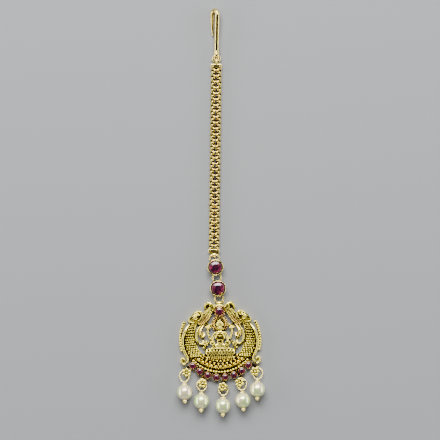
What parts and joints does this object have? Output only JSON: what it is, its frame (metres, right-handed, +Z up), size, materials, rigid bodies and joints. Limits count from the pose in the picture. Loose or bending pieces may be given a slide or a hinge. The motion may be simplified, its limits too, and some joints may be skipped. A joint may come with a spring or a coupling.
{
  "type": "maang tikka",
  "caption": "Forehead jewel lying flat: hair hook, double box chain, stone bezels and a pierced round pendant fringed with pearl drops.",
  "frame": {"origin": "middle of the jewel's outline, on the surface that it lies on", "axes": "+Z up from the surface towards the front of the pendant, +Y along the jewel from the pendant to the hook, +X to the right seen from the front"},
  "size_m": [0.0326, 0.1506, 0.0058],
  "materials": {
    "polished_gold": "polished pale yellow gold plating",
    "antique_gold": "cast antique gold with dark recesses",
    "ruby": "polished magenta-red faceted stone, foiled behind",
    "pearl": "cream pearl lustre"
  },
  "bodies": {
    "root": {"pendant": "antique_gold", "centre_ruby": "ruby", "row_ruby_1": "ruby", "row_ruby_2": "ruby", "row_ruby_3": "ruby", "row_ruby_4": "ruby", "row_ruby_5": "ruby", "row_ruby_6": "ruby", "row_ruby_7": "ruby", "row_ruby_8": "ruby", "lower_bezel": "polished_gold", "lower_bezel_stone": "ruby", "upper_bezel": "polished_gold", "upper_bezel_stone": "ruby", "lower_jump_ring": "polished_gold", "middle_jump_ring": "polished_gold", "upper_jump_ring": "polished_gold", "drop_ring_1": "polished_gold", "drop_ring_2": "polished_gold", "drop_ring_3": "polished_gold", "drop_ring_4": "polished_gold", "drop_ring_5": "polished_gold", "double_box_chain": "polished_gold", "hook": "polished_gold", "drop_pin_1": "polished_gold", "pearl_1": "pearl", "drop_pin_2": "polished_gold", "pearl_2": "pearl", "drop_pin_3": "polished_gold", "pearl_3": "pearl", "drop_pin_4": "polished_gold", "pearl_4": "pearl", "drop_pin_5": "polished_gold", "pearl_5": "pearl"}
  },
  "joints": []
}
